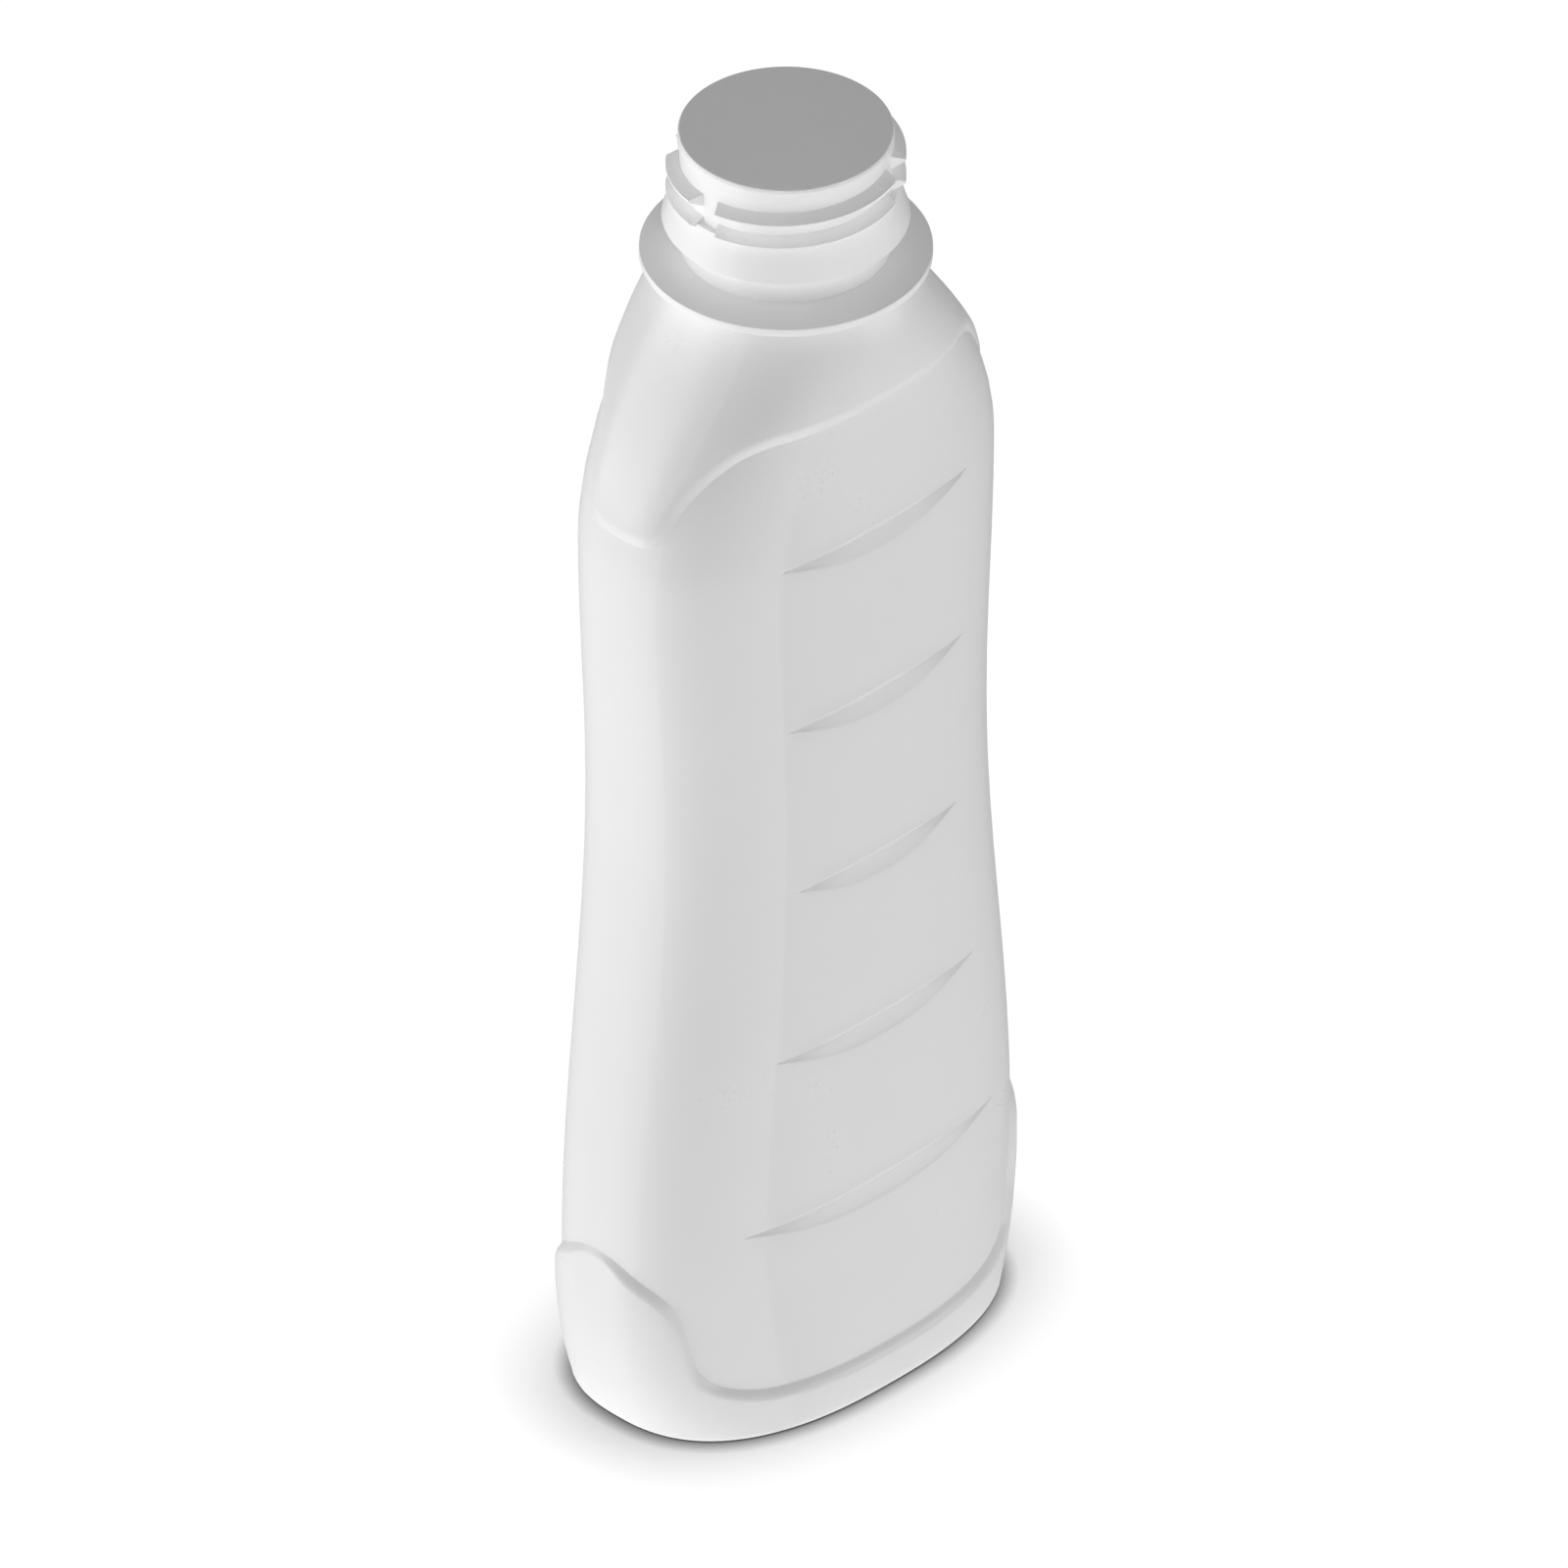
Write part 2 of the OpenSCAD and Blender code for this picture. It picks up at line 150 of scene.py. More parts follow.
class BottleNeck(bpy.types.PropertyGroup):
    """Sizes of the neck finish."""
    neck_h: length("Neck height", "Height of the neck above the body", 23.2)
    neck_d: length("Neck diameter", "Outside diameter of the neck wall", 33.2)
    lip_d: length("Lip diameter", "Outside diameter of the lip", 33.8)
    lip_h: length("Lip height", "Height of the lip", 1.8)
    lip_r: length("Lip edge", "Bevel of the lip's upper edge", 0.12)
    ring_d: length("Ring diameter", "Diameter of the carrying ring", 45.8)
    ring_t: length("Ring thickness", "Thickness of the ring at its edge", 1.4)
    ring_slope: length("Ring slope", "Extra thickness of the ring at the neck", 0.75)
    edge_r: length("Edge rounding", "Rounding of the ring's and the collar's edges", 0.14)
    collar_d: length("Collar diameter", "Largest diameter of the tamper collar", 38.8)
    collar_top_d: length("Collar top diameter", "Diameter at the top of its cone", 35.2)
    collar_h: length("Collar height", "Height of the cone", 5.7)
    collar_gap: length("Collar gap", "Distance from the ring to the collar", 5.3)
    collar_root_d: length("Collar root diameter", "Diameter of the step under it", 34.6)
    collar_root_h: length("Collar root height", "Height of the step under it", 2.4)
    thread_d: length("Thread diameter", "Diameter over the thread's crest", 37.5)
    thread_pitch: length("Thread pitch", "Rise in one turn", 4.23)
    thread_root_w: length("Thread root", "Width of the thread at the neck", 2.3)
    thread_crest_w: length("Thread crest", "Width of the thread at its crest", 0.4)
    thread_top_gap: length("Thread start", "Lip top down to the thread's upper end", 3.4)
    gap_root_a: turn("Vent half angle at root", "Half angle of a vent gap at the neck", 4.4)
    gap_crest_a: turn("Vent half angle at crest", "Half angle of a vent gap at the crest", 8.6)
    seal_t: length("Seal thickness", "Thickness of the disc over the mouth", 0.4)
    seal_inset: length("Seal inset", "How much smaller than the lip it is, each side", 0.05)
    seal_r: length("Seal edge", "Rounding of the disc's upper edge", 0.3)
    seal_bevel: length("Seal bevel", "Bevel of the disc's lower edge", 0.02)


class BottleFinish(bpy.types.PropertyGroup):
    """Colours and light levels."""
    plastic: colour("Bottle plastic", "White of the moulded plastic", (0.86, 0.86, 0.86))
    plastic_deep: colour("Plastic, thick", "White where the wall is thicker", (0.83, 0.83, 0.83))
    plastic_gloss: ratio("Plastic roughness", "Roughness of the moulded surface", 0.3)
    seal: colour("Seal face", "Pale grey of the bonded disc", (0.92, 0.92, 0.92))
    seal_gloss: ratio("Seal roughness", "Roughness of the disc", 0.56)
    floor: colour("Floor", "Plain pale floor", (0.9, 0.9, 0.9))
    left_light: ratio("Left light", "Power of the left lamp, in watts", 2.85, 100)
    right_light: ratio("Right light", "Power of the right lamp, in watts", 1.0, 100)
    front_light: ratio("Front light", "Power of the soft front lamp, in watts", 0.6, 100)
    neck_light: ratio("Neck light", "Power of the narrow neck lamp, in watts", 0.0014, 100)
    room_light: ratio("Room light", "Strength of the even light around", 0.26, 5)
    floor_light: ratio("Floor light", "Extra light that the floor throws up", 0.8, 5)


def sizes(group):
    """Every single number of a group: lengths in mm, angles in degrees, the rest as it is."""
    scale = {"LENGTH": 1000, "ROTATION": math.degrees(1)}
    return {key: getattr(group, key) * scale.get(prop.unit, 1)
            for key, prop in group.bl_rna.properties.items()
            if prop.type == "FLOAT" and not prop.is_array}


def mix(a, b, t):
    """From a at t = 0 to b at t = 1, in a straight line."""
    return a + (b - a) * t


def ramp(t):
    """From 0 to 1 while t does so, flat at both ends."""
    return (1 - np.cos(np.pi * np.clip(t, 0, 1))) / 2


def bell(t, middle, width):
    """A smooth bump of height 1 around the middle."""
    return np.exp(-((t - middle) / width) ** 2)


def soft_min(a, b, ease):
    """The smaller of two values, rounded where they are closer than ease."""
    return np.minimum(a, b) - np.maximum(ease - np.abs(a - b), 0) ** 2 / (4 * ease)


def smooth_line(points, x):
    """Smooth curve through [angle, height] points, flat at both ends and without overshoot."""
    xs, ys = np.array(points, float).T
    rise = np.diff(ys) / np.diff(xs)
    slope = np.zeros(len(xs))
    for i in range(1, len(xs) - 1):
        s, t = rise[i - 1], rise[i]
        slope[i] = 2 * s * t / (s + t) if s * t > 0 else 0
    i = np.clip(np.searchsorted(xs, x, side="right") - 1, 0, len(xs) - 2)
    w = xs[i + 1] - xs[i]
    t = np.clip((x - xs[i]) / w, 0, 1)
    return (ys[i] * (1 + 2 * t) * (1 - t) ** 2 + slope[i] * w * t * (1 - t) ** 2
            + ys[i + 1] * t * t * (3 - 2 * t) - slope[i + 1] * w * t * t * (1 - t))


class BodySurface:
    """The blown body as rings of points, one for each section angle, in mm."""
    QUARTER_COLUMNS = 88
    COLUMN_STEPS = 1801  # steps in which a quarter is measured to space its columns
    CROWD = 1.6  # how many more columns stand where the relief climbs,
    CROWD_ANGLE, CROWD_SPREAD = 34, 9  # and around which angle

    # The band's edge line by degrees from mid-face, and the skirt's by degrees from the end.
    BAND_LINE = ((0, "band_front_z"), (30, "band_third_z"), (47, "band_half_z"),
                 (54, "band_turn_z"), (56.5, "band_climb_z"), (62, "band_ease_z"),
                 (72, "band_tab_side_z"), (90, "band_tab_z"))
    SKIRT_LINE = ((0, "skirt_tip_z"), (9, "skirt_low_z"), (16, "skirt_side_z"),
                  (23, "skirt_climb_z"), (31, "skirt_lean_z"), (40, "skirt_turn_z"),
                  (52, "skirt_level_z"), (90, "skirt_front_z"))
    BAND_SECTION_Z, SKIRT_SECTION_Z = 20, 176  # heights at which the lines' girths are taken
    LINE_POINTS = 2600
    STEEPEST = 4  # most that an edge's height grows where its line climbs
    STEP_FOOT = 0.05  # share of a raised edge that is its sharp foot

    FLUTES = ("flute_low_len", "flute_second_len", "flute_third_len", "flute_fourth_len",
              "flute_top_len")
    CREASE = 0.3  # where a flute's deepest line lies, as a share of its drop
    EVENNESS = 0.4  # lower numbers keep a flute deeper towards its tips
    LIP_AT, LIP_W, LIP_START = 0.22, 0.13, 0.1  # shares of the lower wall
    BEAD_Z, BEAD_W = 0.22, 0.26  # mm over the upper edge
    TIP = 1e-3  # least share of a flute that is cut

    # Rings: over a raised edge, in edge widths from its line; over a flute, as shares of its
    # drop and of its rise, and in mm over its upper edge; and in between, as shares of the way.
    EDGE_MARGIN = 0.15
    EDGE_ROWS = (-0.05, 0, 0.04, 0.09, 0.15, 0.22, 0.3, 0.4, 0.5, 0.6, 0.7, 0.8, 0.9, 1)
    DROP_ROWS = (1.04, 0.96, 0.86, 0.77, 0.7, 0.65, 0.59, 0.52, 0.44, 0.36, 0.32, 0.3, 0.28,
                 0.22, 0.1)
    RISE_ROWS = (0.1, 0.6, 0.93)
    BEAD_ROWS = (0, 0.1, 0.25, 0.42, 0.7)
    ROW_BOW = 0.12  # least share of a flute's bow in the rows beside it
    UNDER_FLUTES = (0.15, 0.5, 0.85)
    BETWEEN_FLUTES = (0.1, 0.35, 0.65, 0.9)
    OVER_FLUTES = (0.1, 0.4, 0.7, 0.95)
    HOLLOW_ROWS = (1.0, 0.75, 0.5, 0.25, 0.0)
    FOOT_STEP = 15  # degrees of the foot's rounding from row to row
    BAND_ROWS, SHOULDER_ROWS = 8, 14
    CROWN_GAP = 0.01  # mm from the body's last ring to the carrying ring

    def __init__(self, body, relief):
        self.b, self.r = body, relief
        self.angle = self.columns()
        self.top = body["body_h"] - self.CROWN_GAP
        end = np.degrees(np.abs(np.arcsin(np.clip(np.sin(self.angle), -1, 1))))
        self.band = smooth_line([[a, relief[key]] for a, key in self.BAND_LINE], 90 - end)
        self.skirt = smooth_line([[a, relief[key]] for a, key in self.SKIRT_LINE], end)
        self.band_curve = self.edge_curve(self.band, self.BAND_SECTION_Z)
        self.skirt_curve = self.edge_curve(self.skirt, self.SKIRT_SECTION_Z)
        self.band_w = relief["band_edge"] * self.steepness(self.band)
        self.skirt_w = relief["skirt_edge"] * self.steepness(self.skirt)

    def columns(self):
        """Angles of the columns, closer together where the relief climbs."""
        fine = np.linspace(0, 90, self.COLUMN_STEPS)
        crowd = 1 + self.CROWD * bell(fine, self.CROWD_ANGLE, self.CROWD_SPREAD)
        total = np.concatenate([[0], np.cumsum((crowd[1:] + crowd[:-1]) / 2)])
        at = np.arange(self.QUARTER_COLUMNS) / self.QUARTER_COLUMNS * total[-1]
        quarter = np.radians(np.interp(at, total, fine))
        back = np.pi - np.append(quarter, np.pi / 2)[:0:-1]
        half = np.concatenate([quarter, back])
        return np.concatenate([half, half + np.pi])

    def steepness(self, line):
        """How much taller an edge gets where its line climbs, so that its width stays even."""
        x, y = self.plain(line)
        run = np.hypot(np.roll(x, -1) - np.roll(x, 1), np.roll(y, -1) - np.roll(y, 1))
        climb = (np.roll(line, -1) - np.roll(line, 1)) / run
        return np.minimum(np.sqrt(1 + climb ** 2), self.STEEPEST)

    def edge_curve(self, line, z):
        """An edge line as many (girth, height) points, each column's girth, and all of it."""
        x, y = self.plain(np.full(len(line), float(z)))
        gap = np.hypot(np.roll(x, -1) - x, np.roll(y, -1) - y)
        girth = np.concatenate([[0], np.cumsum(gap)])
        closed = np.append(line, line[0])
        along = np.concatenate([[0], np.cumsum(np.hypot(gap, np.diff(closed)))])
        at = np.linspace(0, along[-1], self.LINE_POINTS)
        return (np.interp(at, along, girth), np.interp(at, along, closed), girth[:-1],
                gap.sum())

    @staticmethod
    def beyond(curve, z):
        """Distance of each column's point at height z from an edge line."""
        u, v, girth, total = curve
        off = np.abs(girth[:, None] - u[None, :])
        off = np.minimum(off, total - off)
        return np.hypot(off, z[:, None] - v[None, :]).min(axis=1)

    def section(self, z):
        """Half width, half depth and squareness at height z."""
        b = self.b
        up = np.clip((z - b["shoulder_z"]) / (b["body_h"] - b["shoulder_z"]), 0, 1)
        close = 1 - (1 - up ** b["shoulder_power"]) ** b["shoulder_ease"]
        flatten = up ** b["depth_power"]
        foot, belly, waist, shoulder, crown = (
            b[k] / 2 for k in ("foot_w", "belly_w", "waist_w", "shoulder_w", "crown_d"))
        low = np.clip(z / b["belly_z"], 0, 1)
        to_waist = ramp((z - b["belly_z"]) / (b["waist_z"] - b["belly_z"]))
        to_shoulder = ramp((z - b["waist_z"]) / (b["shoulder_z"] - b["waist_z"]))
        width = np.where(
            z < b["belly_z"], mix(foot, belly, 1 - (1 - low) ** 2),
            np.where(z < b["waist_z"], mix(belly, waist, to_waist),
                     mix(mix(waist, shoulder, to_shoulder), crown, close)))
        depth = mix(mix(b["foot_d"], b["body_d"], ramp(low)) / 2, crown, flatten)
        return width, depth, mix(b["section_power"], 2, flatten)

    def plain(self, z, out=0.0):
        """Points of the body without relief, moved outwards by out."""
        # A section is the superellipse (x/a)^n + (y/b)^n = 1, and (u, v) points out of it.
        a, b, n = self.section(z)
        c, s = np.cos(self.angle), np.sin(self.angle)
        ac, as_ = np.abs(c), np.abs(s)
        sc, ss = np.where(c < 0, -1, 1), np.where(s < 0, -1, 1)
        x, y = a * sc * ac ** (2 / n), b * ss * as_ ** (2 / n)
        u, v = sc * ac ** (2 - 2 / n) / a, ss * as_ ** (2 - 2 / n) / b
        size = np.hypot(u, v)
        return x + out * u / size, y + out * v / size

    def step(self, s):
        """Rounded step: nearly square at its foot, fully rounded at its top."""
        s = np.clip(s, 0, 1)
        return np.sin(np.pi / 2 * s * s / (s + self.STEP_FOOT) * (1 + self.STEP_FOOT))

    def flute_reach(self, i, x):
        """How much of a flute is there at x: 1 in its middle, 0 at its tips."""
        return 1 - (2 * x / self.r[self.FLUTES[i]]) ** 2

    def flutes(self, x, z):
        """Depth of the grip flutes at points of a broad face, below 0 on their beads."""
        r = self.r
        lip = r["flute_lip"] / r["flute_depth"]
        depth = np.zeros_like(x)
        for i in range(len(self.FLUTES)):
            k = np.maximum(self.flute_reach(i, x), self.TIP ** 2)
            dz = z - r["flute_low_z"] - i * r["flute_pitch"]
            up, low = r["flute_rise"] * k, -r["flute_drop"] * k
            crease = self.CREASE * low
            upper = np.clip((up - dz) / (up - crease), 0, 1)
            lower = np.clip((dz - low) / (crease - low), 0, 1)
            fuller = lip * bell(lower, self.LIP_AT, self.LIP_W)
            lower = ((lower + lower ** 2) / 2
                     - fuller * np.clip(lower / self.LIP_START, 0, 1))
            even = k ** self.EVENNESS
            cut = np.where(dz > crease, upper, lower) * r["flute_depth"] * even
            bead = bell(dz - up, self.BEAD_Z, self.BEAD_W) * r["flute_bead"] * even
            there = k > self.TIP
            inside = (dz < up) & (dz > low) & there
            depth = depth + np.where(inside, cut, 0) - np.where(there, bead, 0)
        return depth

    def skin(self, z):
        """Finished body points at heights z, one for each column."""
        r = self.r
        z = np.asarray(z, float)
        band = np.where(z < self.band, self.beyond(self.band_curve, z), 0)
        skirt = np.where(z > self.skirt, self.beyond(self.skirt_curve, z), 0)
        out = (r["band_raise"] * self.step(band / r["band_edge"])
               + r["skirt_raise"] * self.step(skirt / r["skirt_edge"]))
        x, y = self.plain(z, out)
        y = np.sign(y) * (np.abs(y) - self.flutes(x, z))
        tab = self.b["tab_w"] / 2
        return np.sign(x) * soft_min(np.abs(x), tab, self.b["tab_ease"]), y, z

    def flute_rows(self, i):
        """Rows that bow with a flute's edges and close up beside it."""
        r = self.r
        tips_z = r["flute_low_z"] + i * r["flute_pitch"]
        x, _ = self.plain(np.full(len(self.angle), tips_z))
        k = np.maximum(self.flute_reach(i, x), self.ROW_BOW)
        top = tips_z + r["flute_rise"] * k
        return ([tips_z - r["flute_drop"] * k * f for f in self.DROP_ROWS]
                + [tips_z + r["flute_rise"] * k * f for f in self.RISE_ROWS]
                + [top + np.sqrt(k) * f for f in self.BEAD_ROWS])

    def base_rows(self):
        """Rings from the hollow under the base, over the standing rim and up its edge."""
        b, edge = self.b, self.b["foot_r"]
        places = [(edge + b["rim_w"] + b["hollow_w"] * f, b["push_up"] * float(ramp(f)))
                  for f in self.HOLLOW_ROWS]
        places.append((edge + b["rim_w"] / 2, 0))
        for degrees in range(0, 90, self.FOOT_STEP):
            a = math.radians(degrees)
            places.append((edge * (1 - math.sin(a)), edge * (1 - math.cos(a))))
        flat = np.ones(len(self.angle))
        return [(*self.plain(flat * edge, self.r["band_raise"] - inset), flat * z)
                for inset, z in places]

    def rows(self):
        """Every ring of the body, from the hollow under the base up to the crown."""
        flat = np.ones(len(self.angle))
        heights = []
        foot, band_low = self.b["foot_r"] * flat, self.band - self.band_w
        for f in np.arange(self.BAND_ROWS) / self.BAND_ROWS:
            heights.append(mix(foot, band_low, f))
        for s in (*reversed(self.EDGE_ROWS), -self.EDGE_MARGIN):
            heights.append(self.band - s * self.band_w)
        last, between = self.band + self.EDGE_MARGIN * self.band_w, self.UNDER_FLUTES
        for i in range(len(self.FLUTES)):
            rows = self.flute_rows(i)
            heights += [mix(last, rows[0], f) for f in between]
            heights += rows
            last, between = rows[-1], self.BETWEEN_FLUTES
        skirt_low = self.skirt - self.EDGE_MARGIN * self.skirt_w
        heights += [mix(last, skirt_low, f) for f in self.OVER_FLUTES]
        heights += [self.skirt + s * self.skirt_w for s in self.EDGE_ROWS]
        skirt_high = self.skirt + self.skirt_w
        for f in np.arange(1, self.SHOULDER_ROWS + 1) / self.SHOULDER_ROWS:
            heights.append(mix(skirt_high, self.top * flat, f))
        return self.base_rows() + [self.skin(z) for z in heights]


class NeckSurface:
    """The neck finish as rings above the body and the thread as closed runs, in mm."""
    COLUMNS = 288
    GAPS = (-240, -180, -60, 0, 120, 180, 300, 360)  # degrees at which the vent gaps lie
    SUNK_H, SUNK_IN = 3, 1  # how far the neck stands in the body, and inside its own wall
    THREAD_SUNK = 0.6  # how far the thread stands in the neck
    THREAD_STEP = 1.5  # degrees
    RING_TOP_A, COLLAR_TOP_A = 83, 17  # where a rounded edge meets the slope over it, degrees
    ROUND_POINTS, SEAL_ROUND_POINTS = 5, 7
    # Level rings of the disc: shares of its radius, and mm inside its rounded edge.
    SEAL_INNER, SEAL_FOOT, SEAL_FACE, SEAL_SETBACK = 0.5, 0.98, 0.9, 0.05

    def __init__(self, body, neck):
        self.n = neck
        self.angle = np.arange(self.COLUMNS) * 2 * np.pi / self.COLUMNS
        self.base = body["body_h"]
        self.low = self.base - self.SUNK_H
        self.lip_top = self.base + neck["neck_h"]
        self.ring_top = self.base + neck["ring_t"]
        self.collar_low = self.ring_top + neck["ring_slope"] + neck["collar_gap"]
        self.collar_top = self.collar_low + neck["collar_h"]

    def rows(self):
        """Every ring of the neck, from inside the body up to the lip."""
        n, e = self.n, self.n["edge_r"]
        wall, lip, ring, root, collar, cone = (
            n[k] / 2 for k in ("neck_d", "lip_d", "ring_d", "collar_root_d", "collar_d",
                               "collar_top_d"))
        lip_low, bevel = self.lip_top - n["lip_h"], n["lip_r"]
        root_low = self.collar_low - n["collar_root_h"]
        profile = [(wall - self.SUNK_IN, self.low), (wall - self.SUNK_IN, self.base),
                   (ring - e, self.base)]
        profile += self.round(ring - e, self.base + e, e, -90, 0)[1:]
        profile += self.round(ring - e, self.ring_top - e, e, 0, self.RING_TOP_A)
        profile += [(wall, self.ring_top + n["ring_slope"]), (wall, root_low),
                    (root, root_low), (root, self.collar_low), (collar - e, self.collar_low)]
        profile += self.round(collar - e, self.collar_low + e, e, -90, self.COLLAR_TOP_A)[1:]
        profile += [(cone, self.collar_top), (wall, self.collar_top), (wall, lip_low),
                    (lip, lip_low), (lip, self.lip_top - bevel), (lip - bevel, self.lip_top)]
        return [self.circle(r, z) for r, z in profile]

    def seal_rows(self):
        """Every ring of the disc over the mouth, from its underside up to its face."""
        n, z = self.n, self.lip_top
        t, edge, bevel = n["seal_t"], n["seal_r"], n["seal_bevel"]
        r = n["lip_d"] / 2 - n["seal_inset"]
        profile = [(r * self.SEAL_INNER, z), (r * self.SEAL_FOOT, z), (r, z + bevel),
                   (r, z + t - edge - bevel)]
        profile += self.round(r - edge, z + t - edge, edge, 0, 90, self.SEAL_ROUND_POINTS)
        profile += [(r - edge - self.SEAL_SETBACK, z + t), (r * self.SEAL_FACE, z + t),
                    (r * self.SEAL_INNER, z + t)]
        return [self.circle(*place) for place in profile]

    def thread(self):
        """Points and faces of the thread: one closed run between each pair of vent gaps."""
        n = self.n
        half_root, half_crest = n["thread_root_w"] / 2, n["thread_crest_w"] / 2
        wall, crest = n["neck_d"] / 2, n["thread_d"] / 2
        inner = wall - self.THREAD_SUNK
        wide = half_root + (half_root - half_crest) * self.THREAD_SUNK / (crest - wall)
        rise = n["thread_pitch"] / 360
        start = self.lip_top - n["thread_top_gap"] - half_crest - n["thread_pitch"]
        points, faces = [], []
        for low, high in zip(self.GAPS, self.GAPS[1:]):
            first, steps = len(points), math.ceil((high - low) / self.THREAD_STEP)
            for i in range(steps + 1):
                # The four corners of the thread's section, whose run narrows towards its crest.
                f = i / steps
                foot = mix(low + n["gap_root_a"], high - n["gap_root_a"], f)
                top = mix(low + n["gap_crest_a"], high - n["gap_crest_a"], f)
                for r, a, off in ((inner, foot, -wide), (crest, top, -half_crest),
                                  (crest, top, half_crest), (inner, foot, wide)):
                    turned = math.radians(a)
                    points.append((r * math.cos(turned), r * math.sin(turned),
                                   start + rise * a + off))
            last = first + 4 * steps
            for j in range(first, last, 4):
                for k in range(4):
                    a, b = j + k, j + (k + 1) % 4
                    faces.append((a, a + 4, b + 4, b))
            faces.append((first, first + 1, first + 2, first + 3))
            faces.append((last + 3, last + 2, last + 1, last))
        return points, faces

    def circle(self, r, z):
        """A level ring of points around the neck."""
        return r * np.cos(self.angle), r * np.sin(self.angle), np.full(self.COLUMNS, float(z))

    @staticmethod
    def round(r, z, radius, start, end, count=ROUND_POINTS):
        """Points of a small rounding in the profile, between two angles in degrees."""
        arc = np.radians(np.linspace(start, end, count))
        return [(r + radius * math.cos(a), z + radius * math.sin(a)) for a in arc]


def new_piece(name, points, faces, sharp=None):
    """A new mesh object from points in mm, smooth but for edges sharper than an angle."""
    mesh = bpy.data.meshes.new(name)
    mesh.from_pydata((np.asarray(points) / 1000).tolist(), [], faces)
    mesh.validate()
    mesh.shade_smooth()
    if sharp is not None:
        mesh.set_sharp_from_angle(angle=math.radians(sharp))
    piece = bpy.data.objects.new(name, mesh)
    bpy.context.scene.collection.objects.link(piece)
    return piece


def closed_rings(rings, low, high):
    """Points and faces of a closed skin over rings and the heights of its two end points."""
    count = len(rings[0][0])
    grid = np.stack([np.stack(ring, axis=1) for ring in rings])
    points = np.concatenate([grid.reshape(-1, 3), [[0, 0, low], [0, 0, high]]])
    j, i = np.meshgrid(np.arange(len(rings) - 1), np.arange(count), indexing="ij")
    a, b = j * count + i, j * count + (i + 1) % count
    faces = np.stack([a, b, b + count, a + count], axis=-1).reshape(-1, 4).tolist()
    last = (len(rings) - 1) * count
    first_end, last_end = len(points) - 2, len(points) - 1
    for k in range(count):
        faces.append((first_end, (k + 1) % count, k))
        faces.append((last_end, last + k, last + (k + 1) % count))
    return points, faces


class Socket:
    """A node socket that takes part in Python sums."""

    def __init__(self, shader, link):
        self.shader, self.link = shader, link

    def _math(self, operation, a, b):
        return self.shader.node("Math", {"operation": operation}, {0: a, 1: b})

    def __add__(self, other):
        return self._math("ADD", self, other)

    def __sub__(self, other):
        return self._math("SUBTRACT", self, other)

    def __rsub__(self, other):
        return self._math("SUBTRACT", other, self)

    def __mul__(self, other):
        return self._math("MULTIPLY", self, other)

    def __pow__(self, other):
        return self._math("POWER", self, other)

    __radd__, __rmul__ = __add__, __mul__


class Shader:
    """A material or world being drawn up: one method makes any node."""

    def __init__(self, name, owner=None):
        self.owner = owner or bpy.data.materials.new(name)
        self.owner.use_nodes = True
        self.tree = self.owner.node_tree
        self.tree.nodes.clear()

    def node(self, kind, settings=None, inputs=None, output=0):
        """Make a ShaderNode of a kind, set it up, feed its sockets and return one output."""
        made = self.tree.nodes.new("ShaderNode" + kind)
        for key, value in (settings or {}).items():
            setattr(made, key, value)
        for key, value in (inputs or {}).items():
            if isinstance(value, Socket):
                self.tree.links.new(value.link, made.inputs[key])
            else:
                made.inputs[key].default_value = value
        return Socket(self, made.outputs[output]) if made.outputs else None

    def noise(self, scale, detail):
        """Soft noise around 0.5 over the piece, its scale in spots per metre."""
        place = self.node("TexCoord", output="Object")
        return self.node("TexNoise",
                         inputs={"Vector": place, "Scale": scale, "Detail": detail})

    def blend(self, factor, a, b):
        """A colour between two, by a factor."""
        return self.node("Mix", {"data_type": "RGBA"},
                         {"Factor": factor, "A": rgba(a), "B": rgba(b)}, output="Result")

    def surface(self, shader, output="OutputMaterial"):
        """Send a shader to the output and return what it colours."""
        self.node(output, inputs={"Surface": shader})
        return self.owner


def rgba(rgb):
    """A colour with full alpha."""
    return (*rgb, 1.0)


WHITE = rgba((1, 1, 1))
MOTTLE_ROUGH, GRAIN_ROUGH, FIBRE_ROUGH = 0.1, 0.06, 0.12  # how far roughness follows a noise
PRESSED_TONE = 0.965  # tone of the disc where it was pressed
SHADOW_REACHES = (0.003, 0.014)  # metres from the foot that its narrow and wide shadows reach
WIDE_SHADOW = 0.6  # strength of the wide one
FLOOR_WHITE = 1.02  # keeps the open floor just over white


def moulded_plastic(finish):
    """White blown plastic: faint wall mottling, fine mould grain and slow ripples."""
    m = Shader("bottle_plastic")
    mottle = m.noise(scale=70, detail=3)
    grain = m.noise(scale=1900, detail=2)
    ripple = m.noise(scale=38, detail=1)
    tone = m.blend(mottle, finish.plastic, finish.plastic_deep)
    rough = (finish.plastic_gloss + (mottle - 0.5) * MOTTLE_ROUGH
             + (grain - 0.5) * GRAIN_ROUGH)
    fine = m.node("Bump", inputs={"Strength": 0.02, "Distance": 0.0001, "Height": grain})
    bump = m.node("Bump", inputs={"Strength": 0.08, "Distance": 0.0004, "Height": ripple,
                                  "Normal": fine})
    return m.surface(m.node("BsdfPrincipled", inputs={
        "Base Color": tone, "Roughness": rough, "Normal": bump, "IOR": 1.5}))


